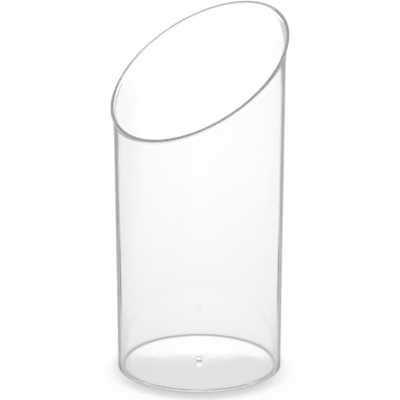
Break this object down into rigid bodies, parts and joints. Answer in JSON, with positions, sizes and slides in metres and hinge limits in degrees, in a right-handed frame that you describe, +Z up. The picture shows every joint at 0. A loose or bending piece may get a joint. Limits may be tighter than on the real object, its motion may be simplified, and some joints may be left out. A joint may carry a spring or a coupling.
{
  "type": "dessert cup",
  "caption": "Clear plastic dessert cup: a tall, slightly leaning round wall with a mouth cut on a slant, a thin turned-out lip and a closed flat floor.",
  "frame": {"origin": "middle of the circle that the cup stands on", "axes": "+Z up along the axis of the wall; +X towards the high side of the slanted mouth; the cup is the same on both sides of the XZ plane"},
  "size_m": [0.0437, 0.0438, 0.09],
  "materials": {
    "clear_plastic": "clear polystyrene, moulded glossy on both sides, nearly colourless"
  },
  "bodies": {
    "root": {"cup": "clear_plastic"}
  },
  "joints": []
}
